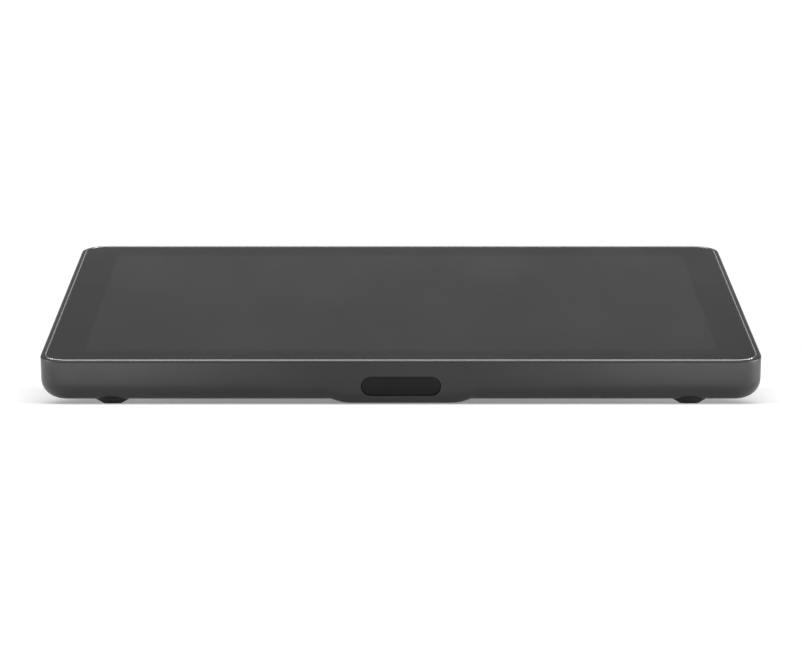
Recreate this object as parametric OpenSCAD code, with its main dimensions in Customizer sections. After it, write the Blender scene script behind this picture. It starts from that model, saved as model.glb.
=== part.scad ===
// Tabletop smart display: a thin tilted slab with a touch screen, carried on a wedge-shaped base
// that holds the ports and the cable bay. All sizes are in millimetres.
// The slab is drawn in its own flat frame (x across, y back from the front edge, z up from its
// underside) and laid back by the screen's tilt. The base is drawn upright on the table.

/* [Slab] */
// Width of the slab
body_w = 246; // [240:1:300]
// Length of the slab from its front edge to its back edge
body_d = 164; // [160:1:200]
// Thickness of the slab
body_t = 14.7; // [14.5:0.1:20]
// Tilt of the screen from the table
tilt = 14.2; // [12:0.2:18]
// Corner radius of the slab, seen from above
corner_r = 9.5; // [9:0.5:16]
// Radius of the slab's lower edge
edge_r = 6.5; // [5:0.5:8]
// Wall of the slab's housing
wall = 2; // [1.6:0.1:2.4]
// Height of the slab's lowest line above the table
ground_gap = 1.65; // [1.5:0.05:4]

/* [Screen] */
// Width of the housing's rim
rim_w = 1.4; // [1.2:0.1:1.8]
// Width of the bright ring between the rim and the glass
trim_w = 0.45; // [0.3:0.05:0.6]
// How far the bright ring stands above the rim and the glass
trim_up = 0.2; // [0.1:0.05:0.3]
// Thickness of the cover glass
glass_t = 1.1; // [0.7:0.1:1.8]
// Width of the picture
active_w = 217; // [200:1:230]
// Height of the picture
active_d = 135.6; // [120:0.2:142]
// Distance from the slab's front edge to the picture
active_y = 13.6; // [10:0.2:16]

/* [Sensor] */
// Width of the sensor window
window_w = 27; // [20:1:34]
// Height of the sensor window
window_h = 6.6; // [5:0.2:7]
// Height of the window's middle above the slab's underside
window_z = 6; // [5:0.1:7]
// Width of the chin under the window, at the table
chin_w = 39.6; // [36:0.4:60]
// How far each flank of the chin runs out at the slab's lowest line
chin_flank = 4.6; // [2:0.2:8]

/* [Base] */
// Width of the base
base_w = 176; // [160:1:220]
// Depth of the base
base_d = 102; // [85:1:124]
// How far the base's back stands in from the slab's lower back edge
base_inset = 2; // [0:0.5:8]
// Corner radius of the base, seen from above
base_r = 16; // [8:1:20]
// Wall of the base
base_wall = 2.4; // [1.8:0.1:3]
// Height of the base's underside above the table
base_z = 2; // [1.5:0.1:3]
// Thickness of the base plate
plate_t = 2; // [1.8:0.1:2.6]
// Depth of the cable bay behind the port panel
bay_d = 40; // [34:1:44]
// Width of the sliding cable cover
cover_w = 120; // [100:1:126]

/* [Mounting] */
// Spacing of the mounting inserts across the base
mount_x = 75; // [60:1:90]
// Spacing of the mounting inserts from front to back
mount_y = 20; // [16:1:24]
// Radius of the mounting inserts' holes
mount_hole_r = 1.65; // [1.3:0.05:2]
// Height of each mounting insert
insert_t = 3.4; // [2.8:0.1:3.4]

/* [Fits] */
// Gap between two housings or covers
gap = 0.2; // [0.1:0.05:0.3]
// Gap around the sliding cover
slide_gap = 0.3; // [0.2:0.05:0.4]
// Gap around the reset button
button_gap = 0.1; // [0.05:0.05:0.2]
// Travel of the reset button
button_travel = 0.8; // [0.4:0.1:1]

/* [Hidden] */
$fn = 64;

far = 400;                      // longer than anything here
eps = 0.01;                     // lets a cut pass clean through a face
floor_t = wall;                 // the slab's bottom wall
outer_bevel = 0.3;
slab_z = ground_gap - edge_r * (sin(tilt) + cos(tilt) - 1);
front_y = -(body_t - outer_bevel) * sin(tilt);
back_y = (body_d - edge_r) * cos(tilt) - edge_r * sin(tilt) + edge_r;
mid_y = (front_y + back_y) / 2;

// Screws: shank, head and the room round them
screw_r = 1.2;
head_r = 2.4;
head_t = 1.1;
small_screw_r = 0.75;
small_head_r = 1.5;
small_head_t = 0.8;
screw_gap = 0.25;
head_sink = head_t + 0.1;       // depth of the recess for a head

// Layers of the screen, from the glass down, as heights above the slab's underside
seat_w = body_w - 2 * rim_w;    // mouth of the housing
seat_d = body_d - 2 * rim_w;
seat_r = corner_r - rim_w;
trim_gap = gap / 2;             // on each side of the ring
glass_in = trim_w + 2 * trim_gap;
glass_w = seat_w - 2 * glass_in;
glass_d = seat_d - 2 * glass_in;
glass_r = seat_r - glass_in;
glass_z = body_t - glass_t;
bond_t = 0.3;
bond_z = glass_z - bond_t;
bond_w = 5;                     // width of the adhesive ring
panel_w = active_w + 9;         // outline of the display panel
panel_d = active_d + 8.4;
panel_front = active_y - 3;
panel_back = panel_front + panel_d;
touch_t = 0.25;
touch_z = glass_z - touch_t;
lcd_t = 1.5;
lcd_z = touch_z - lcd_t;
guide_t = 1.9;
guide_z = lcd_z - guide_t;
tray_t = 0.5;
tray_z = guide_z - tray_t;
frame_t = 1.2;
frame_z = tray_z - frame_t;
frame_inset = 1.5;              // from the glass's edge to the frame's edge
frame_w = glass_w - 2 * frame_inset;
frame_d = glass_d - 2 * frame_inset;
frame_r = glass_r - frame_inset;
frame_lip = 0.4;                // room round the panel in its frame

// The base and what stands in it, upright on the table
base_back = (body_d - edge_r) * cos(tilt) - base_inset;
base_front = base_back - base_d;
roof_t = 2;
plate_top = base_z + plate_t;
wall_bottom = plate_top + 0.5;  // the back wall stops above the sliding cover
panel_y = base_back - bay_d;
panel_t = 1.2;
panel_span = base_w - 2 * base_wall - 2 * gap;
rib = [3, 2];                   // ribs that hold the port panel's ends
cover_front = panel_y - 3;
cover_lip = 2;                  // the cover's flange on each side
lip_z = base_z + plate_t / 2;   // top of the plate's rails
way_w = cover_w + 2 * slide_gap;
way_wide = way_w + 2 * cover_lip;
exit_w = 32;
exit_top = 13;
io_t = 1.2;
io_z = plate_top + 1.5;
io_top = io_z + io_t;
io_w = 118;
io_depth = 29;
io_front = panel_y - 1 - io_depth;
io_screws_at = [
    for (sx = [-1, 1]) for (y = [4, io_depth - 8]) [sx * (io_w / 2 - 4), io_front + y]
];
port_y = panel_y + panel_t + 0.3;   // the sockets' mouths stand just clear of the panel
net_x = -44;
hdmi_x = -16;
usb_x = [8, 24];
net_size = [15.9, 14, 11.4];
hdmi_size = [15, 11.5, 6.2];
usb_size = [9, 8, 3.4];
button_x = 44;
button_r = 1.6;
button_out = 1.4;
button_len = 6;
button_z = io_top + 3;
clamp_d = 7;
clamp_w = 58;
clamp_y = base_back - 16;
clamp_z = wall_bottom + 0.3;
clamp_t = 3;
clamp_x = [-24.5, 24.5];
clamp_mid = clamp_y + clamp_d / 2;
cord_r = 3;                     // grooves for the cords in the clamp
cord_z = clamp_z + clamp_t + 1.4;
post_r = 3.4;
speaker = [20, 24, 6];
speaker_x = 72;
speaker_y = panel_y - 5 - speaker[1];
antenna = [0.8, 30, 7];
vent_w = 2;
insert_r = 2.8;
boss_r = 4.4;
mount_front = base_front + base_wall + boss_r + 0.2;
mounts_at = [for (sx = [-1, 1]) for (y = [0, mount_y]) [sx * mount_x / 2, mount_front + y]];
plate_boss_r = 3.2;
plate_screws_at = [
    for (sx = [-1, 1]) for (y = [base_front + 10, base_back - 10]) [sx * (base_w / 2 - 10), y]
];
foot_tip_r = 3;
foot_root_r = 5.9;
front_foot = [body_w / 2 - 24.4, edge_r * (cos(tilt) - sin(tilt)) + 3];
rear_foot_r = 4.6;
rear_foot = [base_w / 2 - 9.5, base_back - 18];
lock_y = panel_y + 14;
lock_z = 12;

// The slab's boards and the slot for the ribbon to the base
pcb_t = 1.2;
main_w = 120;
main_d = 50;
slot_y = (io_front + 9.5) / cos(tilt);
slot_d = 4;
main_y = slot_y + 6;
main_back = main_y + main_d;
main_z = floor_t + 2;
main_top = main_z + pcb_t;
chip_t = 1.4;
pad_t = 0.5;
can_t = chip_t + pad_t;
spreader_t = 0.6;
chip_y = main_y + 26;
socket_t = 1.1;
io_x = -10;                     // middle of the ribbon to the base
io_ribbon_w = 20;
flex_z = main_top + socket_t + 0.3;
flex_y = max(panel_back + 0.2, main_back + 1.2);   // where the panel's flat cables go down
panel_flex_at = [-32, 22];      // middle and width of the panel's flat cable
touch_flex_at = [24, 14];
sensor_at = [12, 4];
main_screws = [
    for (sx = [-1, 1]) for (y = [4, main_d - 4]) [sx * (main_w / 2 - 4), main_y + y]
];

// The sensor behind its window
window_lip = 1.3;               // the window's flange beyond its opening
window_step = 0.35;             // how deep the window sits in the wall
flange_t = 0.8;
sensor_post_r = 1.4;
sensor_post_x = window_w / 2 + window_lip + sensor_post_r + 0.4;
pocket_w = 2 * (sensor_post_x + 2.6);
pocket_z0 = window_z - window_h / 2 - 1.5;
pocket_z1 = window_z + window_h / 2 + 1.5;
sensor_y = wall + flange_t + 2.2;
pocket_d = 5.4;

// Screws on the slab's underside
frame_boss_r = 2.6;
frame_screw_x = active_w / 2 - 28.5;
frame_screw_y = [for (y = [base_front + 9, base_front + 52, base_back - 9]) y / cos(tilt)];
frame_screws = [
    for (sx = [-1, 1]) for (at = [for (y = frame_screw_y) [frame_screw_x, y], [30, frame_screw_y[0]]])
        [sx * at[0], at[1]]
];
base_boss_r = 3.4;
base_boss_t = 4;
base_fixings = [
    for (sx = [-1, 1]) for (y = [base_front + 20, base_back - 22])
        [sx * (base_w / 2 - 16), y / cos(tilt)]
];

// Moves from the slab's flat frame to where it lies, tilted, above the table
module tilted() {
    translate([0, -mid_y, slab_z]) rotate([tilt, 0, 0]) children();
}

// Moves what stands upright on the table; y is measured from the slab's front lower corner
module upright() {
    translate([0, -mid_y, 0]) children();
}

// A point of the slab's frame as [y, z] on the table
function on_table(y, z) = [y * cos(tilt) - z * sin(tilt), slab_z + y * sin(tilt) + z * cos(tilt)];

// Height of the underside of the base's roof above the table, at a place y
function roof_under(y) = slab_z + y * tan(tilt) - roof_t / cos(tilt);

// The two sides of a bent strip with a middle line and a thickness
function unit(v) = v / norm(v);
function across(path, i) =
    let (
        last = len(path) - 1,
        ahead = unit(path[min(i + 1, last)] - path[min(i, last - 1)]),
        behind = unit(path[max(i, 1)] - path[max(i, 1) - 1]),
        along = unit(ahead + behind)
    )
    [-along[1], along[0]];
function strip(path, t) = concat(
    [for (i = [0 : len(path) - 1]) path[i] + across(path, i) * t / 2],
    [for (i = [len(path) - 1 : -1 : 0]) path[i] - across(path, i) * t / 2]
);

// A flat cable of width w round the middle x, that follows a path of [y, z] points
module ribbon(x, w, t, path) {
    translate([x - w / 2, 0, 0]) rotate([90, 0, 90]) linear_extrude(w) polygon(strip(path, t));
}

// A rectangle with round corners, centred in x, from y = 0
module round_rect(w, d, r) {
    translate([-w / 2 + r, 0]) square([w - 2 * r, d]);
    translate([-w / 2, r]) square([w, d - 2 * r]);
    for (sx = [-1, 1], y = [r, d - r]) translate([sx * (w / 2 - r), y]) circle(r);
}

module round_plate(w, d, h, r) {
    linear_extrude(h) round_rect(w, d, r);
}

// A ring with round corners and a wall of t
module round_ring(w, d, h, r, t) {
    difference() {
        round_plate(w, d, h, r);
        translate([0, t, -eps]) round_plate(w - 2 * t, d - 2 * t, h + 2 * eps, max(r - t, 0.5));
    }
}

// A stadium, flat ends up and down, centred
module pill(w, h) {
    square([w - h, h], center = true);
    for (sx = [-1, 1]) translate([sx * (w - h) / 2, 0]) circle(h / 2);
}

// Sweeps an edge section round a plate with round corners. The section starts at x = 0 on the
// corner's axis, and z0 and z1 are its lowest and highest points there.
module round_sweep(w, d, r, z0, z1) {
    translate([-(w / 2 - r), r, z0]) cube([w - 2 * r, d - 2 * r, z1 - z0]);
    for (side = [
        [w / 2 - r, d / 2, 0, d], [0, d - r, 90, w], [-(w / 2 - r), d / 2, 180, d], [0, r, 270, w]
    ])
        translate([side[0], side[1], 0]) rotate([0, 0, side[2]])
            rotate([90, 0, 0]) linear_extrude(side[3] - 2 * r, center = true) children();
    for (corner = [[1, d - r, 0], [-1, d - r, 90], [-1, r, 180], [1, r, 270]])
        translate([corner[0] * (w / 2 - r), corner[1], 0]) rotate([0, 0, corner[2]])
            rotate_extrude(angle = 90) children();
}

// Section of a slab's edge: a round lower edge and a small bevel on top
module edge_section(r, h, re, bevel) {
    polygon([
        [0, 0], [r - re, 0], [r - re, re], [r, re], [r, h - bevel], [r - bevel, h], [0, h]
    ]);
    intersection() {
        translate([r - re, re]) circle(re);
        translate([r - re, 0]) square(re);
    }
}

// The slab's outer shape
module slab_outside() {
    round_sweep(body_w, body_d, corner_r, 0, body_t)
        edge_section(corner_r, body_t, edge_r, outer_bevel);
}

// The hollow inside the slab's walls
module slab_inside() {
    translate([0, wall, floor_t])
        round_sweep(body_w - 2 * wall, body_d - 2 * wall, corner_r - wall, 0, body_t)
            edge_section(corner_r - wall, body_t, edge_r - wall, 0);
}

// The room that the housing's rim leaves for the ring and the glass
module glass_seat() {
    translate([0, rim_w, bond_z]) round_plate(seat_w, seat_d, body_t, seat_r);
}

// The chin below the sensor window: the front wall carried on down, almost to the table
module chin() {
    clear = 0.25;
    deep = 16;
    top = edge_r + 1;
    low = chin_w / 2;
    high = low + chin_flank * edge_r / 2 / (ground_gap - clear);
    intersection() {
        translate([0, deep, 0]) rotate([90, 0, 0]) linear_extrude(deep)
            polygon([
                [-low, -edge_r], [low, -edge_r], [low, 0], [high, edge_r / 2], [high, top],
                [-high, top], [-high, edge_r / 2], [-low, 0]
            ]);
        // stays above the table
        rotate([-tilt, 0, 0]) translate([-far / 2, -far / 2, clear - slab_z])
            cube([far, far, far]);
    }
}

// An upright round peg or hole at a place [x, y], from z0 up
module peg(at, r, z0, h) {
    translate([at[0], at[1], z0]) cylinder(r = r, h = h);
}

// A screw that points up, with the seat of its head at a place [x, y] and a height z
module screw(at, z, length, r = screw_r, hr = head_r, ht = head_t) {
    translate([at[0], at[1], z]) difference() {
        union() {
            translate([0, 0, -ht]) cylinder(r = hr, h = ht);
            translate([0, 0, -eps]) cylinder(r = r, h = length + eps);
        }
        translate([0, 0, -ht - eps]) cylinder(r = hr * 0.45, h = ht * 0.6, $fn = 6);
    }
}

// The same, pointing down
module screw_down(at, z, length, r = small_screw_r, hr = small_head_r, ht = small_head_t) {
    translate([0, 0, 2 * z]) mirror([0, 0, 1]) screw(at, z, length, r, hr, ht);
}

module housing() {
    color([0.27, 0.28, 0.29]) tilted() difference() {
        union() {
            difference() {
                union() {
                    slab_outside();
                    chin();
                }
                slab_inside();
                glass_seat();
                // the window's opening and the pocket behind it
                translate([0, pocket_d, window_z]) rotate([90, 0, 0])
                    linear_extrude(pocket_d + 1) pill(window_w + gap, window_h + gap);
                translate([-pocket_w / 2, wall, pocket_z0])
                    cube([pocket_w, pocket_d, pocket_z1 - pocket_z0]);
            }
            for (at = main_screws) peg(at, 2.4, floor_t - eps, main_z - floor_t + eps);
            for (at = base_fixings) peg(at, base_boss_r, floor_t - eps, base_boss_t + eps);
            for (sx = [-1, 1]) translate([sx * sensor_post_x, sensor_y, window_z])
                rotate([90, 0, 0]) cylinder(r = sensor_post_r, h = sensor_y - wall + eps);
        }
        for (at = frame_screws) {
            peg(at, screw_r + screw_gap, -eps, floor_t + 2 * eps);
            peg(at, head_r + screw_gap, -eps, head_sink + eps);
        }
        for (at = base_fixings) peg(at, screw_r, -eps, floor_t + base_boss_t - 1);
        for (at = main_screws) peg(at, small_screw_r, floor_t / 2, main_z);
        for (sx = [-1, 1]) translate([sx * sensor_post_x, sensor_y + eps, window_z])
            rotate([90, 0, 0]) cylinder(r = small_screw_r, h = 2.4);
        ribbon_slot(-eps, floor_t + 2 * eps);
    }
}

// The slot that takes the ribbon from the slab into the base
module ribbon_slot(z, h) {
    translate([io_x - io_ribbon_w / 2 - 2, slot_y - slot_d / 2, z])
        cube([io_ribbon_w + 4, slot_d, h]);
}

// The bright ring, bevelled on its outer top edge, that stands on the housing's ledge
module trim_ring() {
    r = seat_r - trim_gap;
    top = body_t + trim_up;
    color([0.75, 0.76, 0.78]) tilted() translate([0, rim_w + trim_gap, 0]) difference() {
        round_sweep(seat_w - 2 * trim_gap, seat_d - 2 * trim_gap, r, bond_z, top)
            polygon([[0, bond_z], [r, bond_z], [r, body_t], [r - trim_up, top], [0, top]]);
        translate([0, trim_w, bond_z - eps])
            round_plate(glass_w + 2 * trim_gap, glass_d + 2 * trim_gap, far / 8, r - trim_w);
    }
}

module cover_glass() {
    color([0.12, 0.12, 0.13]) tilted() translate([0, (body_d - glass_d) / 2, glass_z])
        round_plate(glass_w, glass_d, glass_t, glass_r);
}

module glass_adhesive() {
    color([0.1, 0.1, 0.1]) tilted() translate([0, (body_d - frame_d) / 2, bond_z])
        round_ring(frame_w, frame_d, bond_t, frame_r, bond_w);
}

// One flat layer of the display panel, grown by g on every side
module panel_layer(g, z, t) {
    translate([-panel_w / 2 - g, panel_front - g, z]) cube([panel_w + 2 * g, panel_d + 2 * g, t]);
}

module touch_sensor() {
    color([0.5, 0.55, 0.5]) tilted() panel_layer(0, touch_z, touch_t);
}

module lcd_panel() {
    color([0.15, 0.16, 0.18]) tilted() panel_layer(0, lcd_z, lcd_t);
}

module light_guide() {
    strip_room = 3.4;
    color([0.9, 0.92, 0.93]) tilted() difference() {
        panel_layer(-0.8, guide_z, guide_t);
        translate([-panel_w / 2, panel_front, guide_z - eps])
            cube([panel_w, strip_room, guide_t + 2 * eps]);
    }
}

module backlight_tray() {
    color([0.75, 0.76, 0.78]) tilted() difference() {
        panel_layer(0, tray_z, tray_t + guide_t);
        panel_layer(-0.6, guide_z, guide_t + eps);
    }
}

module led_strip() {
    count = 24;
    pitch = (panel_w - 14) / count;
    color([0.95, 0.93, 0.8]) tilted() translate([0, panel_front + 0.8, guide_z]) {
        translate([-panel_w / 2 + 2, 0, 0]) cube([panel_w - 4, 0.5, guide_t - 0.2]);
        for (i = [0 : count - 1])
            translate([(i - (count - 1) / 2) * pitch - 1.5, 0.5 - eps, 0.3]) cube([3, 0.9, 1]);
    }
}

module display_frame() {
    notch_w = pocket_w + 0.6;
    notch_d = wall + pocket_d + 0.3;
    color([0.55, 0.56, 0.58]) tilted() difference() {
        union() {
            translate([0, (body_d - frame_d) / 2, frame_z])
                round_plate(frame_w, frame_d, bond_z - frame_z, frame_r);
            for (at = frame_screws) peg(at, frame_boss_r, floor_t, frame_z - floor_t + eps);
        }
        panel_layer(frame_lip, tray_z, far);
        // room for the sensor behind its window
        translate([-notch_w / 2, 0, frame_z - eps])
            cube([notch_w, notch_d, pocket_z1 + 0.3 - frame_z]);
        // lightening windows, left and right of the boards
        for (sx = [-1, 1], y = [24, body_d - 54])
            translate([sx * (frame_w / 2 - 26) - 7, y, frame_z - eps])
                cube([14, 22, frame_t + 2 * eps]);
        // slot for the panel's flat cables
        translate([-50, panel_back - 2, frame_z - eps])
            cube([100, flex_y - panel_back + 2 + frame_lip / 2, far]);
        for (at = frame_screws) peg(at, screw_r, floor_t - eps, frame_z - floor_t);
    }
}

module display_screws() {
    color([0.7, 0.7, 0.72]) tilted() for (at = frame_screws)
        screw(at, head_sink, frame_z - head_sink - 0.5);
}

module main_board() {
    color([0.05, 0.3, 0.18]) tilted() difference() {
        translate([-main_w / 2, main_y, main_z]) cube([main_w, main_d, pcb_t]);
        for (at = main_screws) peg(at, small_screw_r + screw_gap, main_z - eps, pcb_t + 2 * eps);
    }
}

module board_screws() {
    color([0.7, 0.7, 0.72]) tilted() for (at = main_screws) screw_down(at, main_top, 3);
}

module processor() {
    color([0.12, 0.12, 0.12]) tilted() translate([-8.5, chip_y - 8.5, main_top])
        cube([17, 17, chip_t]);
}

module memory_chips() {
    color([0.15, 0.15, 0.15]) tilted() for (y = [-13, 1])
        translate([14, chip_y + y, main_top]) cube([9, 12, 1]);
}

module shield_cans() {
    can_wall = 0.3;
    color([0.8, 0.8, 0.82]) tilted() for (can = [[-46, 14, 30, 22], [30, 12, 22, 26]])
        translate([can[0], main_y + can[1], main_top]) difference() {
            cube([can[2], can[3], can_t]);
            translate([can_wall, can_wall, -eps])
                cube([can[2] - 2 * can_wall, can[3] - 2 * can_wall, can_t - can_wall + eps]);
        }
}

module thermal_pad() {
    color([0.7, 0.75, 0.85]) tilted() translate([-8, chip_y - 8, main_top + chip_t])
        cube([16, 16, pad_t]);
}

module heat_spreader() {
    color([0.8, 0.5, 0.35]) tilted()
        translate([-52, main_y + 9, main_top + chip_t + pad_t]) cube([104, 32, spreader_t]);
}

module board_sockets() {
    wide = 2;
    color([0.9, 0.88, 0.8]) tilted() {
        for (s = [panel_flex_at, touch_flex_at])
            translate([s[0] - s[1] / 2 - wide, main_back - 6, main_top])
                cube([s[1] + 2 * wide, 4, socket_t]);
        for (s = [[io_x, io_ribbon_w], sensor_at])
            translate([s[0] - s[1] / 2 - wide, main_y + 1.2, main_top])
                cube([s[1] + 2 * wide, 4, socket_t]);
    }
}

// A flat cable from the panel's back edge, down through the frame, to the main board
module panel_flex(at, from_z) {
    ribbon(at[0], at[1], 0.12, [
        [panel_back, from_z], [flex_y - 0.08, from_z], [flex_y, from_z - 0.2],
        [flex_y, flex_z + 0.8], [flex_y - 0.8, flex_z], [main_back - 6, flex_z]
    ]);
}

module display_flex() {
    color([0.85, 0.55, 0.2]) tilted() panel_flex(panel_flex_at, lcd_z + lcd_t / 2);
}

module touch_flex() {
    color([0.85, 0.55, 0.2]) tilted() panel_flex(touch_flex_at, touch_z + touch_t / 2);
}

module sensor_window() {
    color([0.06, 0.06, 0.07]) tilted() {
        translate([0, wall + eps, window_z]) rotate([90, 0, 0])
            linear_extrude(wall - window_step + eps) pill(window_w, window_h);
        translate([0, wall + flange_t, window_z]) rotate([90, 0, 0])
            linear_extrude(flange_t) pill(window_w + 2 * window_lip, window_h + 2 * window_lip);
    }
}

module sensor_board() {
    board_w = pocket_w - 1.2;
    low = pocket_z0 + 0.4;
    high = min(pocket_z1 - 0.4, frame_z - 0.3);
    color([0.05, 0.3, 0.18]) tilted() difference() {
        translate([-board_w / 2, sensor_y, low]) cube([board_w, 1, high - low]);
        for (sx = [-1, 1]) translate([sx * sensor_post_x, sensor_y + 1 + eps, window_z])
            rotate([90, 0, 0]) cylinder(r = small_screw_r + 0.15, h = 1 + 2 * eps);
    }
}

module motion_sensor() {
    color([0.75, 0.75, 0.7]) tilted() translate([0, sensor_y, window_z])
        rotate([90, 0, 0]) {
            translate([-3.6, -2.3, 0]) cube([7.2, 4.6, 1.2]);
            translate([0, 0, 1.2 - eps]) cylinder(r = 2, h = 0.7);
        }
}

module sensor_screws() {
    color([0.7, 0.7, 0.72]) tilted() for (sx = [-1, 1])
        translate([sx * sensor_post_x, sensor_y + 1, window_z]) rotate([90, 0, 0])
            screw([0, 0], 0, 3, small_screw_r, small_head_r, small_head_t);
}

module sensor_cable() {
    t = 0.2;
    start = sensor_y + 1 + t / 2;
    low = floor_t + 0.3;
    high = main_top + socket_t + t;
    color([0.9, 0.88, 0.82]) tilted()
        ribbon(sensor_at[0], sensor_at[1], t, [
            [start, window_z], [start, low + 1.6], [start + 1.6, low], [main_y - 6, low],
            [main_y - 2, high - 1], [main_y - 0.5, high], [main_y + 4, high]
        ]);
}

module front_feet() {
    rise = (front_foot[1] + foot_root_r) * tan(tilt) + 1;
    color([0.09, 0.09, 0.09]) for (sx = [-1, 1]) difference() {
        upright() translate([sx * front_foot[0], front_foot[1], 0]) {
            cylinder(r1 = foot_tip_r, r2 = foot_root_r, h = ground_gap);
            translate([0, 0, ground_gap - eps]) cylinder(r = foot_root_r, h = rise);
        }
        tilted() slab_outside();
    }
}

// The base's outline grown by g, cut off a little below the slab, from the height z0 up
module base_block(g, z0, under = 0) {
    intersection() {
        translate([0, base_front - g, z0])
            round_plate(base_w + 2 * g, base_d + 2 * g, far / 4, base_r + g);
        translate([0, 0, slab_z]) rotate([tilt, 0, 0])
            translate([-far / 2, -far / 2, -far - under]) cube([far, far, far]);
    }
}

// The grooves that grip the cords
module cord_grooves() {
    for (x = [-11, 0, 11]) translate([x, clamp_y - 1, cord_z])
        rotate([-90, 0, 0]) cylinder(r = cord_r, h = clamp_d + 2);
}

// What hangs from the base's roof: screw bosses, the clamp's posts and upper jaw, panel ribs
module base_inside() {
    jaw_inset = 1.5;
    jaw_z = cord_z + 2.1;
    intersection() {
        union() {
            for (at = plate_screws_at) peg(at, plate_boss_r, plate_top, far / 8);
            for (x = clamp_x) peg([x, clamp_mid], post_r, clamp_z + clamp_t, far / 8);
            difference() {
                translate([clamp_x[0], clamp_y + jaw_inset, jaw_z])
                    cube([clamp_x[1] - clamp_x[0], clamp_d - 2 * jaw_inset, far / 8]);
                cord_grooves();
            }
            for (sx = [-1, 1], y = [panel_y - gap / 2 - rib[1], panel_y + panel_t + gap / 2])
                translate([sx * (base_w / 2 - base_wall - rib[0] / 2) - rib[0] / 2, y, plate_top])
                    cube([rib[0], rib[1], far / 8]);
        }
        base_block(-base_wall / 2, base_z, roof_t / 2);
    }
}

module base_housing() {
    way = [way_wide, base_wall + 2, wall_bottom];
    color([0.2, 0.21, 0.22]) upright() difference() {
        union() {
            difference() {
                base_block(0, base_z);
                base_block(-base_wall, base_z - 1, roof_t);
            }
            base_inside();
        }
        // the back wall stops above the cover
        translate([-way[0] / 2, base_back - base_wall - 1, 0]) cube(way);
        // cable outlet
        translate([-exit_w / 2, base_back - base_wall - 1, 0])
            cube([exit_w, base_wall + 2, exit_top]);
        // vents in the back wall
        for (sx = [-1, 1], i = [0 : 7])
            translate([sx * (30 + 5 * i) - vent_w / 2, base_back - base_wall - 1, 16])
                cube([vent_w, base_wall + 2, 10]);
        // lock slot in the right wall
        translate([base_w / 2 - base_wall - 1, lock_y, lock_z]) rotate([0, 90, 0])
            linear_extrude(base_wall + 2) rotate(90) pill(7, 3);
        for (x = clamp_x) peg([x, clamp_mid], screw_r, 0, clamp_z + clamp_t + 8);
        for (at = plate_screws_at) peg(at, screw_r, 0, plate_top + 5);
        translate([0, 0, slab_z]) rotate([tilt, 0, 0]) {
            for (at = base_fixings) peg(at, screw_r + screw_gap, -roof_t - 1, roof_t + 2);
            ribbon_slot(-roof_t - 1, roof_t + 2);
        }
    }
}

module base_screws() {
    color([0.7, 0.7, 0.72]) tilted() for (at = base_fixings) screw(at, -roof_t, 6);
}

// The cover's way in the base plate, narrow below and wide above
module cover_way() {
    length = base_back - cover_front + 2;
    translate([-way_w / 2, cover_front - slide_gap, base_z - 1])
        cube([way_w, length, plate_t + 2]);
    translate([-way_wide / 2, cover_front - slide_gap, lip_z]) cube([way_wide, length, plate_t]);
}

module base_plate() {
    inset = base_wall + gap / 2;
    slots = 5;
    color([0.16, 0.16, 0.17]) upright() difference() {
        union() {
            translate([0, base_front + inset, base_z])
                round_plate(base_w - 2 * inset, base_d - 2 * inset, plate_t, base_r - inset);
            for (at = io_screws_at) peg(at, 2.6, plate_top - eps, io_z - plate_top + eps);
            for (at = mounts_at) peg(at, boss_r, base_z, insert_t);
        }
        cover_way();
        for (at = io_screws_at) peg(at, small_screw_r, base_z + 0.8, io_z);
        for (at = mounts_at) peg(at, insert_r, base_z - 1, insert_t + 2);
        for (at = plate_screws_at) {
            peg(at, screw_r + screw_gap, base_z - 1, plate_t + 2);
            peg(at, head_r + screw_gap, base_z - 1, head_sink + 1);
        }
        // vents between the mounting inserts
        for (i = [-5 : 5]) translate([i * 5 - vent_w / 2, mount_front - 3, base_z - 1])
            cube([vent_w, 18, plate_t + 2]);
        // slots under the speakers
        for (sx = [-1, 1], i = [0 : slots - 1])
            translate([sx * speaker_x - 7, speaker_y + 3.6 + 4 * i, base_z - 1])
                cube([14, 1.6, plate_t + 2]);
    }
}

module plate_screws() {
    color([0.3, 0.3, 0.31]) upright() for (at = plate_screws_at) screw(at, base_z + head_sink, 5);
}

// A speaker in a closed box, its cone facing down
module speakers() {
    color([0.12, 0.12, 0.13]) upright() for (sx = [-1, 1])
        translate([sx * speaker_x, speaker_y + speaker[1] / 2, plate_top]) difference() {
            translate([-speaker[0] / 2, -speaker[1] / 2, 0]) cube(speaker);
            translate([0, 0, -eps]) cylinder(r1 = 8.5, r2 = 3, h = 3);
        }
}

module io_board() {
    color([0.05, 0.3, 0.18]) upright() difference() {
        translate([-io_w / 2, io_front, io_z]) cube([io_w, io_depth, io_t]);
        for (at = io_screws_at) peg(at, small_screw_r + screw_gap, io_z - eps, io_t + 2 * eps);
    }
}

module io_screws() {
    color([0.7, 0.7, 0.72]) upright() for (at = io_screws_at) screw_down(at, io_top, 3.2);
}

// Moves a socket onto the ports' board, with its mouth at the port panel
module socket_at(x, size) {
    translate([x - size[0] / 2, port_y - size[1], io_top]) children();
}

// A socket's outside with the panel's gap on every side
module socket_hole(x, size) {
    socket_at(x, size) translate([-gap, -gap, -gap]) cube([for (s = size) s + 2 * gap]);
}

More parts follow.
